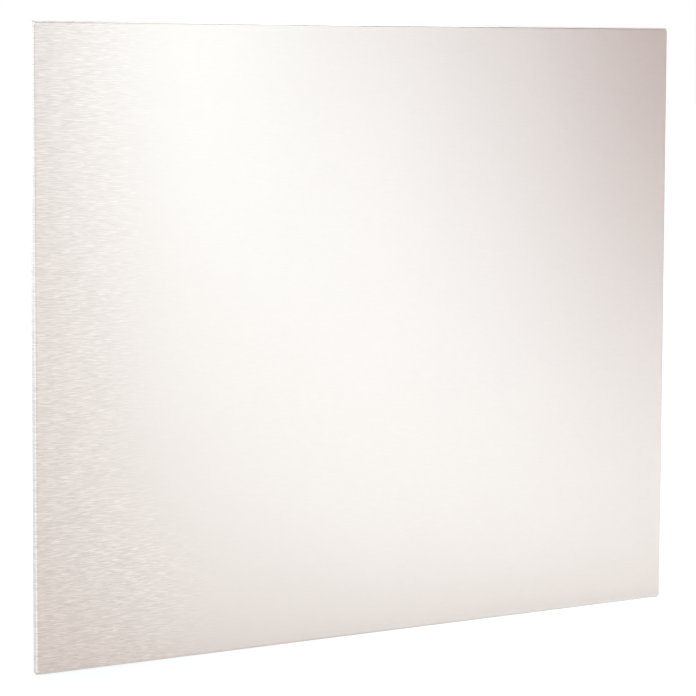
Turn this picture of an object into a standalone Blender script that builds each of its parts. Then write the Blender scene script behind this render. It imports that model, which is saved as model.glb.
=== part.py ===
# Stainless steel splashback: one sheet, folded back along all four edges into a shallow tray.
# Metres. +X runs along the width, +Z up, +Y towards the wall. The origin is the middle of the
# sheet's rear face, which is bonded to the wall.
from math import cos, radians, sin, sqrt, tan

import bmesh
import bpy
from mathutils import Matrix, Vector

# Driving dimensions
PANEL_WIDTH = 0.900
PANEL_HEIGHT = 0.750
PANEL_DEPTH = 0.008  # from the front of the sheet to the rim of the returns
SHEET_THICKNESS = 0.001
BEND_INSIDE_RADIUS = 0.0015
CORNER_SEAM = 0.0004  # clearance between the ends of two neighbouring returns
CORNER_RELIEF_RADIUS = 0.00125  # the punched hole that keeps the sheet from tearing where two bends meet
RETURN_TIP_RADIUS = 0.0015  # rounding of a return's free corner, at the rim

# How finely the curves are drawn
FOLD_LINES = 6
RELIEF_STEPS = 5
TIP_STEPS = 4

# Points closer than this are one point
MERGE_DISTANCE = 0.000001

# Each square bend is a run of narrow facets that touch the true arc of the sheet's middle, so
# that the front, the returns and the overall sizes come out exact.
fold_angle = radians(90) / FOLD_LINES
bend_outside_radius = BEND_INSIDE_RADIUS + SHEET_THICKNESS
bend_middle_radius = BEND_INSIDE_RADIUS + SHEET_THICKNESS / 2
fold_spacing = 2 * bend_middle_radius * tan(fold_angle / 2)
bend_length = FOLD_LINES * fold_spacing

# The flat front ends where the bends start, and a return's flat starts where its bend ends.
front_half_width = PANEL_WIDTH / 2 - bend_outside_radius
front_half_height = PANEL_HEIGHT / 2 - bend_outside_radius
return_flat = PANEL_DEPTH - bend_outside_radius

# A return's flat runs on past the end of its bend until only the seam is left to the next one,
# measured between the inner corners of their ends.
return_reach = BEND_INSIDE_RADIUS - CORNER_SEAM / sqrt(2)
tip_radius = min(RETURN_TIP_RADIUS, return_flat)
relief_radius = min(CORNER_RELIEF_RADIUS, bend_length)

across = Vector((1, 0, 0))
towards_wall = Vector((0, 1, 0))
up = Vector((0, 0, 1))
sheet_middle = -towards_wall * SHEET_THICKNESS / 2


def clear_scene():
    for old in list(bpy.data.objects):
        bpy.data.objects.remove(old, do_unlink=True)


def arc(centre, radius, first, last, steps):
    # Points round a centre, from the first angle to the last, in degrees.
    angles = [radians(first + (last - first) * i / steps) for i in range(steps + 1)]
    return [(centre[0] + radius * cos(a), centre[1] + radius * sin(a)) for a in angles]


def front_outline():
    # A quarter of the flat front, with a quarter of the relief hole bitten out of its corner.
    corner = (front_half_width, front_half_height)
    bite = arc(corner, relief_radius, -90, -180, RELIEF_STEPS)
    return [(0, 0), (front_half_width, 0), *bite, (0, front_half_height)]


def return_outline(half_span):
    # Half a return in the flat. A point is its distance out from the line where the bend starts,
    # and its distance along that line from the middle of the panel.
    rim = bend_length + return_flat
    end = half_span + return_reach
    tip = arc((rim - tip_radius, end - tip_radius), tip_radius, 0, 90, TIP_STEPS)
    bite = arc((0, half_span), relief_radius, 0, -90, RELIEF_STEPS)
    return [(0, 0), (rim, 0), *tip, (bend_length, end), (bend_length, half_span), *bite]


def lay_flat(bm, outline, corner, first_axis, second_axis):
    # One region of the blank: an outline filled in the plane of the sheet's middle.
    points = [corner + first_axis * a + second_axis * b for a, b in outline]
    return bm.faces.new([bm.verts.new(p) for p in points])


def fold_back(bm, face, bend_start, outward):
    # Folds one return towards the wall, a little at each fold line, from the rim inwards.
    hinge = outward.cross(towards_wall)
    region = [face]
    for line in reversed(range(FOLD_LINES)):
        place = bend_start + outward * fold_spacing * (line + 0.5)
        parts = {item for f in region for item in (*f.verts, *f.edges, f)}
        cut = bmesh.ops.bisect_plane(
            bm, geom=list(parts), dist=MERGE_DISTANCE, plane_co=place, plane_no=outward
        )
        region = [item for item in cut["geom"] if isinstance(item, bmesh.types.BMFace)]
        beyond = {v for f in region for v in f.verts if (v.co - place).dot(outward) > MERGE_DISTANCE}
        turn = Matrix.Rotation(fold_angle, 3, hinge)
        bmesh.ops.rotate(bm, verts=list(beyond), cent=place, matrix=turn)


def is_cut_edge(edge):
    # True along the rims, the return ends and the relief, but not where the quarters join.
    joins = any(all(abs(v.co.dot(way)) < MERGE_DISTANCE for v in edge.verts) for way in (across, up))
    return edge.is_boundary and not joins


def quarter_sheet():
    # The middle surface of a quarter of the sheet: laid out as a flat blank, then folded.
    bm = bmesh.new()
    lay_flat(bm, front_outline(), sheet_middle, across, up)
    side_start = sheet_middle + across * front_half_width
    top_start = sheet_middle + up * front_half_height
    side = lay_flat(bm, return_outline(front_half_height), side_start, across, up)
    top = lay_flat(bm, return_outline(front_half_width), top_start, up, across)
    fold_back(bm, side, side_start, across)
    fold_back(bm, top, top_start, up)
    bmesh.ops.remove_doubles(bm, verts=bm.verts, dist=MERGE_DISTANCE)
    bmesh.ops.recalc_face_normals(bm, faces=bm.faces)
    for edge in bm.edges:
        edge.smooth = not is_cut_edge(edge)
    mesh = bpy.data.meshes.new("splashback_panel")
    bm.to_mesh(mesh)
    bm.free()
    return mesh


def brushed_stainless():
    material = bpy.data.materials.new("brushed_stainless")
    material.use_nodes = True
    shader = material.node_tree.nodes["Principled BSDF"]
    shader.inputs["Base Color"].default_value = (0.74, 0.71, 0.68, 1.0)
    shader.inputs["Metallic"].default_value = 1.0
    shader.inputs["Roughness"].default_value = 0.34
    material.diffuse_color = shader.inputs["Base Color"].default_value
    return material


def splashback_panel(collection):
    # The whole sheet: the quarter mirrored to both sides and given its thickness. The last
    # modifier only evens the shading, so that the flats look flat and the bends look round.
    panel = bpy.data.objects.new("splashback_panel", quarter_sheet())
    collection.objects.link(panel)
    panel.data.materials.append(brushed_stainless())

    mirror = panel.modifiers.new("Four quarters", "MIRROR")
    mirror.use_axis = (True, False, True)
    mirror.merge_threshold = MERGE_DISTANCE

    sheet = panel.modifiers.new("Sheet thickness", "SOLIDIFY")
    sheet.thickness = SHEET_THICKNESS
    sheet.offset = 0
    sheet.use_even_offset = True
    sheet.use_quality_normals = True

    shading = panel.modifiers.new("Even shading", "WEIGHTED_NORMAL")
    shading.keep_sharp = True


def main():
    clear_scene()
    collection = bpy.data.collections.new("stainless_splashback")
    bpy.context.scene.collection.children.link(collection)
    splashback_panel(collection)


if __name__ == "__main__":
    main()
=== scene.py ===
# Brushed stainless splashback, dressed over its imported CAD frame.
# Metres. +X runs along the width, +Z up, +Y towards the wall.
from math import cos, pi, radians, sin, sqrt

import bpy
import numpy as np
from mathutils import Matrix, Vector


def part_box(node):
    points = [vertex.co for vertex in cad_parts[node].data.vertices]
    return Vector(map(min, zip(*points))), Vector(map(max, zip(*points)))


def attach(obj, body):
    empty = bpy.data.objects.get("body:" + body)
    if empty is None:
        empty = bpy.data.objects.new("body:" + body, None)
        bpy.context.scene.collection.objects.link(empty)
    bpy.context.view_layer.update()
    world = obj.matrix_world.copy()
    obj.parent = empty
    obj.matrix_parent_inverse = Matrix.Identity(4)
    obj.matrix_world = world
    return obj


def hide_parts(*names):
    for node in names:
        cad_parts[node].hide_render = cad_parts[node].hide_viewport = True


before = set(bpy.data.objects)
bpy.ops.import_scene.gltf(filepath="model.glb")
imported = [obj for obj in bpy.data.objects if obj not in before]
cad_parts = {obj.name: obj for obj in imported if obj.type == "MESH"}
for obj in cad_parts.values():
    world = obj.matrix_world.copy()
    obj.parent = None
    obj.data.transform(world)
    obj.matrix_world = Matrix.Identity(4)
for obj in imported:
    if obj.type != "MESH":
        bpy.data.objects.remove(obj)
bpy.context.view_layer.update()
panelLow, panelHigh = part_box("splashback_panel")
print("frame loaded: panel from", tuple(panelLow), "to", tuple(panelHigh))

# The photograph's viewpoint, in metres, degrees and millimetres of lens.
cameraView = {
    "place": (-1.6864, -2.7561, 0.3343),
    "yaw": 30.955,      # from +Y towards +X
    "pitch": -4.758,
    "roll": 0.226,
    "lens": 136.90,
    "shiftUp": -0.10,   # the photograph has its verticals nearly upright
}


def addCamera(view):
    # Forward is where yaw and pitch point. A level way to the right and the way square to both
    # turn about forward by the roll, and are then the picture's right and up.
    yaw, pitch, roll = (radians(view[name]) for name in ("yaw", "pitch", "roll"))
    forward = Vector((sin(yaw) * cos(pitch), cos(yaw) * cos(pitch), sin(pitch)))
    level = Vector((cos(yaw), -sin(yaw), 0))
    upright = level.cross(forward)
    right = level * cos(roll) + upright * sin(roll)
    above = upright * cos(roll) - level * sin(roll)
    turned = Matrix((right, above, -forward)).transposed().to_4x4()
    camera = bpy.data.objects.new("camera", bpy.data.cameras.new("camera"))
    camera.data.lens = view["lens"]
    camera.data.shift_y = view["shiftUp"]
    camera.matrix_world = Matrix.Translation(view["place"]) @ turned
    bpy.context.scene.collection.objects.link(camera)
    bpy.context.scene.camera = camera


addCamera(cameraView)
print("camera set")

# The sheet. Sizes in metres; the step counts say how finely it is drawn.
sheetForm = {
    "thickness": 0.001,
    "bendInsideRadius": 0.0015,
    "reliefRadius": 0.00125,    # hole where two bends meet
    "cornerSeam": 0.0004,       # between neighbouring return ends
    "tipRadius": 0.0015,        # free corner of a return
    "brokenEdge": 0.00012,      # rounding of every cut edge
    "acrossSteps": 36,
    "upSteps": 30,
    "reliefSteps": 7,
    "bendSteps": 12,
    "returnSteps": 4,
    "tipSteps": 6,
    "edgeSteps": 4,
    "joinCell": 0.000001,       # points in one cell of this size are one point
    "joinShift": 0.137,         # in cells, which keeps round sizes off the cells' edges
}


def sheetSizes(form, low, high):
    # Where the bends start, how long they are in the flat, and how far the returns go.
    sizes = {"middleRadius": form["bendInsideRadius"] + form["thickness"] / 2}
    sizes["bendLength"] = sizes["middleRadius"] * pi / 2
    sizes["halfWide"] = high.x - form["thickness"] - form["bendInsideRadius"]
    sizes["halfHigh"] = high.z - form["thickness"] - form["bendInsideRadius"]
    sizes["middleY"] = low.y + form["thickness"] / 2
    sizes["rim"] = sizes["bendLength"] + high.y - sizes["middleY"] - sizes["middleRadius"]
    sizes["reach"] = form["bendInsideRadius"] - form["cornerSeam"] / sqrt(2)
    return sizes


def ruled(columns, start, end, parts):
    # Grid whose columns each run from a start to an end, shared out by the same parts.
    steps = start[:, None] + (end - start)[:, None] * parts[None, :]
    return columns[:, None] + 0 * steps, steps


def frontGrid(form, sizes, acrossParts, upParts):
    # Flat front in the blank. A column at x is as high as the front, less the chord that the
    # corner's relief circle cuts from it.
    circle = form["reliefRadius"] + form["brokenEdge"]
    turn = np.linspace(0, pi / 2, form["reliefSteps"] + 1)[1:]
    bite = sizes["halfWide"] - circle * np.cos(turn)
    columns = np.concatenate([-bite[::-1], acrossParts * (sizes["halfWide"] - circle), bite])
    away = sizes["halfWide"] - np.abs(columns)
    top = sizes["halfHigh"] - np.sqrt(np.maximum(circle**2 - away**2, 0))
    return ruled(columns, 0 * top, top, upParts)


def returnGrids(form, sizes, halfSpan, parts):
    # Bend and flat of one return, by distance along the bend line and out from it. The bend starts
    # at the relief circle's chord, and the flat ends at the arc of its free corner.
    edge = form["brokenEdge"]
    circle = form["reliefRadius"] + edge
    turn = np.linspace(0, np.arccos(edge / circle), form["reliefSteps"] + 1)[1:]
    bite = halfSpan - circle * np.cos(turn)
    columns = np.concatenate([-bite[::-1], parts * (halfSpan - circle), bite])
    away = halfSpan - np.abs(columns)
    start = np.sqrt(np.maximum(circle**2 - away**2, 0))
    bendEnd = sizes["bendLength"] + edge
    bend = ruled(columns, start, 0 * start + bendEnd, np.linspace(0, 1, form["bendSteps"] + 1))

    tipMiddle = halfSpan + sizes["reach"] - form["tipRadius"]
    tip = form["tipRadius"] - edge
    first = np.arcsin((bite[-1] - tipMiddle) / tip)
    more = tipMiddle + tip * np.sin(np.linspace(first, pi / 2, form["tipSteps"] + 1)[1:])
    columns = np.concatenate([-more[::-1], columns, more])
    past = np.maximum(np.abs(columns) - tipMiddle, 0)
    end = sizes["rim"] - form["tipRadius"] + np.sqrt(np.maximum(tip**2 - past**2, 0))
    flat = ruled(columns, 0 * end + bendEnd, end, np.linspace(0, 1, form["returnSteps"] + 1))
    return bend, flat


def blankMesh(form, sizes):
    # The whole blank in the flat, short of its cut edges by their rounding: the front, and each
    # return turned to its side. Points that share a place are joined.
    acrossParts = np.linspace(-1, 1, form["acrossSteps"] + 1)
    upParts = np.linspace(-1, 1, form["upSteps"] + 1)
    grids = [frontGrid(form, sizes, acrossParts, upParts)]
    halfWide, halfHigh = sizes["halfWide"], sizes["halfHigh"]
    for run, out in returnGrids(form, sizes, halfWide, acrossParts):
        grids += [(run, halfHigh + out), (-run, -halfHigh - out)]
    for run, out in returnGrids(form, sizes, halfHigh, upParts):
        grids += [(halfWide + out, -run), (-halfWide - out, run)]

    places, faces, count = [], [], 0
    for x, z in grids:
        number = count + np.arange(x.size).reshape(x.shape)
        corners = number[:-1, :-1], number[1:, :-1], number[1:, 1:], number[:-1, 1:]
        faces.append(np.stack([corner.ravel() for corner in corners], axis=1))
        places.append(np.stack([x.ravel(), z.ravel()], axis=1))
        count += x.size
    places = np.concatenate(places)
    cells = np.floor(places / form["joinCell"] + form["joinShift"]).astype(np.int64)
    kept, renumber = np.unique(cells, axis=0, return_index=True, return_inverse=True)[1:]
    return places[kept], renumber.reshape(-1)[np.concatenate(faces)]


def folded(sizes, place, height):
    # Folds blank places that stand the given height off the middle of the sheet: the distance out
    # from the bend line turns about the bend's axis at one radian per middle radius, and goes
    # straight back after a quarter turn.
    half = np.array([sizes["halfWide"], sizes["halfHigh"]])
    out = np.maximum(np.abs(place) - half, 0)
    axis = (out[:, 1] > out[:, 0]).astype(int)
    rows = np.arange(len(place))
    distance = out[rows, axis]
    angle = np.minimum(distance / sizes["middleRadius"], pi / 2)
    radius = sizes["middleRadius"] + height
    points = np.empty((len(place), 3))
    points[:, [0, 2]] = place
    base = np.minimum(np.abs(place[rows, axis]), half[axis]) + radius * np.sin(angle)
    points[rows, 2 * axis] = np.sign(place[rows, axis]) * base
    straight = np.maximum(distance - sizes["bendLength"], 0)
    points[:, 1] = sizes["middleY"] + sizes["middleRadius"] - radius * np.cos(angle) + straight
    return points


def outlineOf(places, faces):
    # Edges that only one face uses, and at each of their points the way out of the blank, long
    # enough to keep both edges parallel when they move out by one.
    tails, heads = faces.ravel(), np.roll(faces, -1, axis=1).ravel()
    key = np.minimum(tails, heads) * len(places) + np.maximum(tails, heads)
    index, times = np.unique(key, return_inverse=True, return_counts=True)[1:]
    single = times[index.reshape(-1)] == 1
    tails, heads = tails[single], heads[single]
    along = places[heads] - places[tails]
    square = np.stack([along[:, 1], -along[:, 0]], axis=1) / np.linalg.norm(along, axis=1)[:, None]
    before, after = np.zeros_like(places), np.zeros_like(places)
    before[heads], after[tails] = square, square
    mitre = (before + after) / (1 + (before * after).sum(axis=1))[:, None]
    return tails, heads, mitre


def edgeSection(form):
    # Section of a cut edge: a quarter round off the front skin, straight through, and a quarter
    # round to the rear. It is given as distances out, heights off the middle and the way so far.
    half, edge = form["thickness"] / 2, form["brokenEdge"]
    turn = np.linspace(0, pi / 2, form["edgeSteps"] + 1)
    out = np.concatenate([edge * np.sin(turn), edge * np.sin(turn)[::-1]])
    rise = half - edge + edge * np.cos(turn)
    rise = np.concatenate([rise, -rise[::-1]])
    length = np.concatenate([[0], np.cumsum(np.hypot(np.diff(out), np.diff(rise)))])
    return out, rise, length


def sheetMesh(form, sizes):
    # Front skin, rear skin, and the edge's section carried round their outline, all folded. The
    # map is the blank in metres, and goes on over a cut edge by the way along its section.
    places, faces = blankMesh(form, sizes)
    tails, heads, mitre = outlineOf(places, faces)
    out, rise, length = edgeSection(form)
    half, count, last = form["thickness"] / 2, len(places), len(out) - 1

    rimPoints = np.unique(tails)
    where = np.zeros(count, dtype=int)
    where[rimPoints] = np.arange(len(rimPoints))
    layers = [folded(sizes, places, half), folded(sizes, places, -half)]
    for step in range(1, last):
        layers.append(folded(sizes, places[rimPoints] + mitre[rimPoints] * out[step], rise[step]))

    def numberAt(step, point):
        # The first and last steps are the skins' own points.
        if step == 0:
            return point
        if step == last:
            return count + point
        return 2 * count + (step - 1) * len(rimPoints) + where[point]

    quads = [faces, count + faces[:, ::-1]]
    maps = [places[faces], places[faces[:, ::-1]]]
    for step in range(last):
        corners = (step, heads), (step, tails), (step + 1, tails), (step + 1, heads)
        quads.append(np.stack([numberAt(at, ends) for at, ends in corners], axis=1))
        spread = [places[ends] + mitre[ends] * length[at] for at, ends in corners]
        maps.append(np.stack(spread, axis=1))
    finishNumbers = np.repeat([0, 1, 2], [len(faces), len(faces), last * len(tails)])
    return np.concatenate(layers), np.concatenate(quads), np.concatenate(maps), finishNumbers


def addSheet(form, sizes, finishes):
    # Makes one piece of the mesh, its map and its finishes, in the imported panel's place.
    points, quads, maps, finishNumbers = sheetMesh(form, sizes)
    mesh = bpy.data.meshes.new("folded_sheet")
    mesh.from_pydata(points, [], quads)
    mesh.update()
    # The map's U runs across the grain, its V along it.
    blank = mesh.uv_layers.new(name="blank")
    blank.data.foreach_set("uv", maps[:, :, ::-1].astype(np.float32).ravel())
    mesh.polygons.foreach_set("use_smooth", np.ones(len(quads), dtype=bool))
    for side in ("front", "rear", "cut"):
        mesh.materials.append(finishes[side])
    mesh.polygons.foreach_set("material_index", finishNumbers)
    sheet = bpy.data.objects.new("folded_sheet", mesh)
    bpy.context.scene.collection.objects.link(sheet)
    shading = sheet.modifiers.new("Flats stay flat", "WEIGHTED_NORMAL")
    shading.keep_sharp = True

    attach(sheet, "root")
    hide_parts("splashback_panel")
    print("folded sheet made:", len(points), "points and", len(quads), "faces")


# The finishes. Lengths in metres, across and along the grain. A layer of marks goes from its dark
# to its light value while its noise goes from one edge to the other.
brushedLook = {
    "tint": (0.648, 0.547, 0.493),
    "roughness": 0.30,      # kept clear of 0.274, about which a denoised render speckles
    "anisotropy": 0.87,
    # Bright dashes, dark dashes, fine ones between them, and soft bands.
    "marks": [
        {"across": 0.0010, "along": 0.015, "edges": (0.59, 0.63), "dark": -0.12, "light": 0.95},
        {"across": 0.0009, "along": 0.011, "edges": (0.37, 0.41), "dark": -0.60, "light": 0.08},
        {"across": 0.0005, "along": 0.008, "edges": (0.30, 0.70), "dark": -0.16, "light": 0.16},
        {"across": 0.0040, "along": 0.060, "edges": (0.30, 0.70), "dark": -0.08, "light": 0.08},
    ],
    "slide": 0.08,          # the furthest a row of marks is slid along the grain
    "slideRow": 0.0028,     # and how wide such a row is
    "slideDetail": 1.0,
    "paintedSheenFullAt": -0.475,     # painted sheen: the grain's marks are strongest at the sheet's left edge, standing in for how the light falls there
    "paintedSheenFaintAt": -0.28,      # and fade from this X on
    "paintedSheenFaintShare": 0.06,     # where this share of them is left
    "paintedSheenLowReach": 0.08,       # how much further in the painted sheen reaches low down
    "paintedSheenLowEnds": (-0.30, -0.12),
    "markColour": 0.145,
    "markRoughness": 0.015,
    "markDepth": 0.000004,
    "cloud": 0.22,          # slow variation over the sheet
    "cloudDetail": 2.0,
    "cloudColour": 0.012,
    "cloudRoughness": 0.012,
    "worn": 0.16,           # the bends are rubbed brighter and smoother, in patches
    "wornRoughness": -0.015,
    "wornPatch": 0.012,
    "wornDetail": 2.0,
    "wornEdges": (0.35, 0.6),
    "wornShares": (0.6, 1.0),
    "paintedHighlightSaturation": 0.45, # painted highlight: the bends and the returns are less warm, and so a little lighter
}

# The rear keeps the mill's dull rolled finish.
millLook = {
    **brushedLook,
    "tint": (0.60, 0.565, 0.535),
    "roughness": 0.42,
    "anisotropy": 0.30,
    # Roll marks, dull mottling and grains.
    "marks": [
        {"across": 0.0016, "along": 0.120, "edges": (0.30, 0.70), "dark": -0.30, "light": 0.30},
        {"across": 0.0050, "along": 0.0065, "edges": (0.35, 0.65), "dark": -0.25, "light": 0.25},
        {"across": 0.0007, "along": 0.0009, "edges": (0.30, 0.70), "dark": -0.15, "light": 0.15},
    ],
    "paintedSheenFullAt": 1.0,        # no painted sheen: the marks are at full strength all over the sheet
    "paintedSheenFaintAt": 2.0,
    "paintedSheenFaintShare": 1.0,
    "markColour": 0.07,
    "markRoughness": 0.05,
    "markDepth": 0.000003,
    "cloudColour": 0.03,
    "cloudRoughness": 0.04,
    "worn": 0.0,
    "wornRoughness": 0.0,
}

# Sheared and deburred edges.
cutLook = {
    **millLook,
    "tint": (0.63, 0.585, 0.55),
    "roughness": 0.46,
    # Burnish and tear, and slower changes along the shear.
    "marks": [
        {"across": 0.0008, "along": 0.0008, "edges": (0.35, 0.65), "dark": -0.40, "light": 0.40},
        {"across": 0.0060, "along": 0.0060, "edges": (0.30, 0.70), "dark": -0.30, "light": 0.30},
    ],
    "markColour": 0.16,
    "markRoughness": 0.08,
    "markDepth": 0.00002,
}

# A noise lies about this value, and a mix is halfway at it.
noiseMiddle = 0.5


def addNode(tree, kind, settings=None, inputs=None):
    # Adds a node. An input given as another node's output is linked, and any other is set.
    node = tree.nodes.new("ShaderNode" + kind)
    for name, value in (settings or {}).items():
        setattr(node, name, value)
    for name, value in (inputs or {}).items():
        if isinstance(value, bpy.types.NodeSocket):
            tree.links.new(value, node.inputs[name])
        else:
            node.inputs[name].default_value = value
    return node


def addSum(tree, operation, first, second=0.0, third=0.0):
    # One step of arithmetic on up to three values, by its name.
    return addNode(tree, "Math", {"operation": operation}, {0: first, 1: second, 2: third}).outputs[0]


def addRange(tree, value, edges, results):
    # Goes smoothly from one result to the other between the edges, and stays there past them.
    inputs = {"Value": value, "From Min": edges[0], "From Max": edges[1]}
    inputs.update({"To Min": results[0], "To Max": results[1]})
    return addNode(tree, "MapRange", {"interpolation_type": "SMOOTHSTEP"}, inputs).outputs["Result"]


def addMix(tree, share, first, second):
    # The first colour at a share of 0, the second at 1, and in a straight line between.
    mix = addNode(tree, "Mix", {"data_type": "RGBA"}, {"Factor": share, "A": first, "B": second})
    return mix.outputs["Result"]


def addNoise(tree, place, across, along, detail):
    # Noise in the blank's map, with cells as wide and long as given.
    turned = addNode(tree, "Mapping", None, {"Vector": place, "Scale": (1 / across, 1 / along, 1)})
    inputs = {"Vector": turned.outputs["Vector"], "Scale": 1.0, "Detail": detail, "Roughness": 0.5}
    return addNode(tree, "TexNoise", None, inputs).outputs["Fac"]


def brushingWithPaintedSheen(tree, look, upward, sideways):
    # The marks' layers add up to a pattern, which is the real grain. Its strength is a painted sheen:
    # full at the left edge and fading away from it, standing in for how the light falls there. Each
    # row of marks is slid along the grain by its own length, so that no two begin together.
    row = addSum(tree, "DIVIDE", upward, look["slideRow"])
    inputs = {"W": row, "Scale": 1.0, "Detail": look["slideDetail"]}
    slide = addNode(tree, "TexNoise", {"noise_dimensions": "1D"}, inputs).outputs["Fac"]
    slid = addSum(tree, "MULTIPLY_ADD", slide, look["slide"], sideways)
    rows = addNode(tree, "CombineXYZ", None, {"X": upward, "Y": slid}).outputs["Vector"]
    pattern = 0.0
    for layer in look["marks"]:
        noise = addNoise(tree, rows, layer["across"], layer["along"], 0.0)
        shade = addRange(tree, noise, layer["edges"], (layer["dark"], layer["light"]))
        pattern = addSum(tree, "ADD", shade, pattern)

    # Painted sheen: the marks' strength falls from the left edge inwards, and reaches further in low
    # down.
    reach = addRange(tree, upward, look["paintedSheenLowEnds"], (look["paintedSheenLowReach"], 0.0))
    inward = addSum(tree, "SUBTRACT", sideways, reach)
    paintedSheenStrength = addRange(tree, inward, (look["paintedSheenFullAt"], look["paintedSheenFaintAt"]), (1.0, look["paintedSheenFaintShare"]))
    return addSum(tree, "MULTIPLY_ADD", pattern, paintedSheenStrength, noiseMiddle)


def bendWearAndPaintedHighlight(tree, look, sizes, place, upward, sideways):
    # How far the map is past the nearest bend line tells where the crown of a bend is. The wear grows
    # up to the crown and goes again past it. The warmth falls on the way there and stays low over the
    # returns, a painted highlight.
    above = addSum(tree, "SUBTRACT", addSum(tree, "ABSOLUTE", upward), sizes["halfHigh"])
    beside = addSum(tree, "SUBTRACT", addSum(tree, "ABSOLUTE", sideways), sizes["halfWide"])
    past = addSum(tree, "MAXIMUM", above, beside)
    crown = sizes["bendLength"] / 2
    growing = addRange(tree, past, (0.0, crown), (0.0, 1.0))
    going = addRange(tree, past, (crown, 2 * crown), (1.0, 0.0))
    patches = addNoise(tree, place, look["wornPatch"], look["wornPatch"], look["wornDetail"])
    patches = addRange(tree, patches, look["wornEdges"], look["wornShares"])
    worn = addSum(tree, "MULTIPLY", addSum(tree, "MULTIPLY", growing, going), patches)
    paintedHighlightWarmth = addRange(tree, past, (0.0, crown), (1.0, look["paintedHighlightSaturation"]))
    return worn, paintedHighlightWarmth


def steel(name, look, sizes):
    # The marks change the colour, the roughness and the height together. A slow cloud over the
    # sheet and the wear of its bends change the colour and the roughness.
    material = bpy.data.materials.new(name)
    material.use_nodes = True
    tree = material.node_tree
    shader = tree.nodes["Principled BSDF"]
    shader.inputs["Metallic"].default_value = 1.0
    shader.inputs["Anisotropic"].default_value = look["anisotropy"]
    place = addNode(tree, "UVMap", {"uv_map": "blank"}).outputs["UV"]
    split = addNode(tree, "SeparateXYZ", None, {"Vector": place})
    upward, sideways = split.outputs["X"], split.outputs["Y"]
    marks = brushingWithPaintedSheen(tree, look, upward, sideways)
    worn, paintedHighlightWarmth = bendWearAndPaintedHighlight(tree, look, sizes, place, upward, sideways)
    cloud = addNoise(tree, place, look["cloud"], look["cloud"], look["cloudDetail"])
    cloud = addSum(tree, "SUBTRACT", cloud, noiseMiddle)

    dark = tuple(c * (1 - look["markColour"]) for c in look["tint"])
    light = tuple(c * (1 + look["markColour"]) for c in look["tint"])
    colour = addMix(tree, marks, (*dark, 1), (*light, 1))
    tone = addSum(tree, "MULTIPLY_ADD", cloud, look["cloudColour"] / noiseMiddle, 1.0)
    tone = addSum(tree, "MULTIPLY_ADD", worn, look["worn"], tone)
    # Painted highlight: the bends and the returns lose their warmth.
    tones = {"Color": colour, "Value": tone, "Saturation": paintedHighlightWarmth}
    colour = addNode(tree, "HueSaturation", None, tones).outputs["Color"]
    tree.links.new(colour, shader.inputs["Base Color"])

    change = (-look["markRoughness"], look["markRoughness"])
    rough = addSum(tree, "ADD", addRange(tree, marks, (0.0, 1.0), change), look["roughness"])
    rough = addSum(tree, "MULTIPLY_ADD", cloud, look["cloudRoughness"] / noiseMiddle, rough)
    rough = addSum(tree, "MULTIPLY_ADD", worn, look["wornRoughness"], rough)
    tree.links.new(rough, shader.inputs["Roughness"])

    inputs = {"Height": marks, "Strength": 1.0, "Distance": look["markDepth"]}
    relief = addNode(tree, "Bump", None, inputs)
    tree.links.new(relief.outputs["Normal"], shader.inputs["Normal"])

    # The gloss spreads across the grain: the map's U.
    direction = addNode(tree, "Tangent", {"direction_type": "UV_MAP", "uv_map": "blank"})
    tree.links.new(direction.outputs["Tangent"], shader.inputs["Tangent"])
    return material


panelSizes = sheetSizes(sheetForm, panelLow, panelHigh)
addSheet(sheetForm, panelSizes, {
    "front": steel("brushed stainless, grain along the width", brushedLook, panelSizes),
    "rear": steel("mill-finish stainless", millLook, panelSizes),
    "cut": steel("sheared stainless edge", cutLook, panelSizes),
})

# The studio's floor.
floorLook = {
    "size": 60.0,
    "colour": 0.57,
    "glow": 0.42,       # what the camera, metal and glass see besides the lit floor
    "gap": 0.0005,
}


def addFloor(look, level):
    # A square about the origin, at the given level.
    half = look["size"] / 2
    corners = [(-half, -half, level), (half, -half, level), (half, half, level), (-half, half, level)]
    mesh = bpy.data.meshes.new("floor")
    mesh.from_pydata(corners, [], [(0, 1, 2, 3)])
    floor = bpy.data.objects.new("floor", mesh)
    bpy.context.scene.collection.objects.link(floor)
    material = bpy.data.materials.new("white floor")
    material.use_nodes = True
    tree = material.node_tree
    shader = tree.nodes["Principled BSDF"]
    shader.inputs["Base Color"].default_value = (look["colour"], look["colour"], look["colour"], 1)
    shader.inputs["Roughness"].default_value = 1.0
    shader.inputs["Specular IOR Level"].default_value = 0.0
    shader.inputs["Emission Color"].default_value = (1, 1, 1, 1)
    path = addNode(tree, "LightPath").outputs
    seen = addSum(tree, "MAXIMUM", path["Is Camera Ray"], path["Is Glossy Ray"])
    seen = addSum(tree, "MAXIMUM", seen, path["Is Transmission Ray"])
    glow = addSum(tree, "MULTIPLY", seen, look["glow"])
    tree.links.new(glow, shader.inputs["Emission Strength"])
    mesh.materials.append(material)


addFloor(floorLook, panelLow.z - floorLook["gap"])

# The camera sees a white room. The object is lit by the room's sides too: two dim ones, a bright
# one, a white one overhead and a pale one behind. They lie over each other in this order, and
# each fades out at its spread. Directions in degrees, with the azimuth from -Y towards +X.
roomLook = {
    "white": (1, 1, 1),
    "sides": [
        {"colour": (0.22, 0.0, 0.0), "azimuth": 50, "elevation": 18, "spread": 41},
        {"colour": (0.46, 0.32, 0.24), "azimuth": 18, "elevation": 10, "spread": 16},
        {"colour": (1.65, 1.85, 1.95), "azimuth": -68, "elevation": 5, "spread": 85},
        {"colour": (1.05, 1.08, 1.08), "azimuth": 50, "elevation": 68, "spread": 40},
        {"colour": (0.78, 0.83, 0.85), "azimuth": -156, "elevation": 14, "spread": 34},
    ],
}


def towards(azimuth, elevation):
    # The way there, of length 1.
    turn, lift = radians(azimuth), radians(elevation)
    return Vector((sin(turn) * cos(lift), -cos(turn) * cos(lift), sin(lift)))


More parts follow.
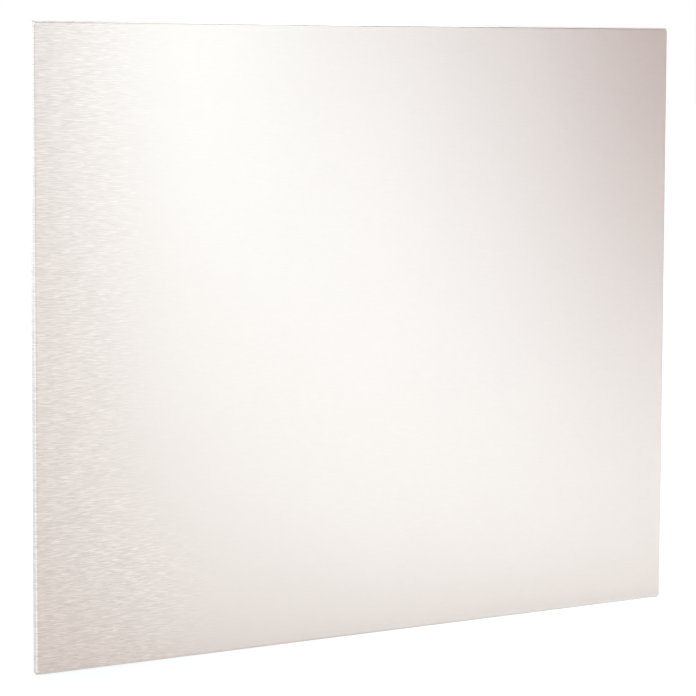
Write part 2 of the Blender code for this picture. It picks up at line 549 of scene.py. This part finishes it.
def addRoom(look):
    # A side's share is 1 in its own direction and falls smoothly to 0 at its spread, by the cosine
    # of the angle between.
    world = bpy.data.worlds.new("room")
    world.use_nodes = True
    tree = world.node_tree
    place = addNode(tree, "TexCoord").outputs["Generated"]
    white = (*look["white"], 1)
    colour = white
    for side in look["sides"]:
        centre = towards(side["azimuth"], side["elevation"])
        near = addNode(tree, "VectorMath", {"operation": "DOT_PRODUCT"}, {0: place, 1: centre})
        share = addNode(tree, "MapRange", {"interpolation_type": "SMOOTHERSTEP"}, {
            "Value": near.outputs["Value"],
            "From Min": cos(radians(side["spread"])),
            "From Max": 1.0,
        })
        colour = addMix(tree, share.outputs["Result"], colour, (*side["colour"], 1))
    colour = addMix(tree, addNode(tree, "LightPath").outputs["Is Camera Ray"], colour, white)
    tree.links.new(colour, tree.nodes["Background"].inputs["Color"])
    bpy.context.scene.world = world


addRoom(roomLook)

# Soft lamps, in metres and degrees, with the brightness of the lamp's face, where 1 is white. The
# last two light the left bend and return, which turn away from the others.
coolWhite = (0.63, 0.88, 1.0)
softWhite = (0.82, 0.95, 1.0)
farAway = 7.0
lamps = {
    "high softbox": {
        "place": towards(24, 10) * farAway, "aim": (0, 0, 0), "wide": 1.0, "high": 1.6,
        "brightness": 4.0, "spread": 180, "colour": coolWhite,
    },
    "low softbox left": {
        "place": towards(28, 2) * farAway, "aim": (0, 0, 0), "wide": 1.0, "high": 0.7,
        "brightness": 3.7, "spread": 180, "colour": coolWhite,
    },
    "low softbox right": {
        "place": towards(34, 2) * farAway, "aim": (0, 0, 0), "wide": 1.0, "high": 0.7,
        "brightness": 4.1, "spread": 180, "colour": coolWhite,
    },
    "near floor softbox": {
        "place": (0.66, -0.38, 0.95), "aim": (0.66, -0.38, -0.4), "wide": 0.9, "high": 0.6,
        "brightness": 3.2, "spread": 80, "colour": coolWhite,
    },
    "far floor softbox": {
        "place": (1.6, -1.5, 1.5), "aim": (1.6, -1.5, -0.4), "wide": 1.6, "high": 1.6,
        "brightness": 3.45, "spread": 80, "colour": coolWhite,
    },
    "overhead strip": {
        "place": (1.8, 0, 3.57), "aim": (0.2, 0, 0.375), "wide": 5.0, "high": 0.8,
        "brightness": 1.5, "spread": 180, "colour": softWhite,
    },
    "back softbox": {
        "place": (-1.67, 2.74, 0.70), "aim": (-0.45, 0, 0.2), "wide": 0.7, "high": 0.5,
        "brightness": 9.0, "spread": 180, "colour": softWhite,
    },
    "left bend softbox": {
        "place": (0.11, -2.44, 0.75), "aim": (-0.45, 0, 0.3), "wide": 0.34, "high": 0.5,
        "brightness": 2.6, "spread": 180, "colour": coolWhite,
    },
}


def addLamp(name, lamp):
    # The power is the brightness times pi and the face's area.
    light = bpy.data.lights.new(name, "AREA")
    light.shape = "RECTANGLE"
    light.size, light.size_y = lamp["wide"], lamp["high"]
    light.spread = radians(lamp["spread"])
    light.color = lamp["colour"]
    light.energy = lamp["brightness"] * pi * lamp["wide"] * lamp["high"]
    made = bpy.data.objects.new(name, light)
    back = Vector(lamp["place"]) - Vector(lamp["aim"])
    turned = back.to_track_quat("Z", "Y").to_matrix().to_4x4()
    made.matrix_world = Matrix.Translation(lamp["place"]) @ turned
    made.visible_camera = False
    bpy.context.scene.collection.objects.link(made)


for name, lamp in lamps.items():
    addLamp(name, lamp)
print("studio lit")

bpy.context.scene.view_settings.view_transform = "Standard"
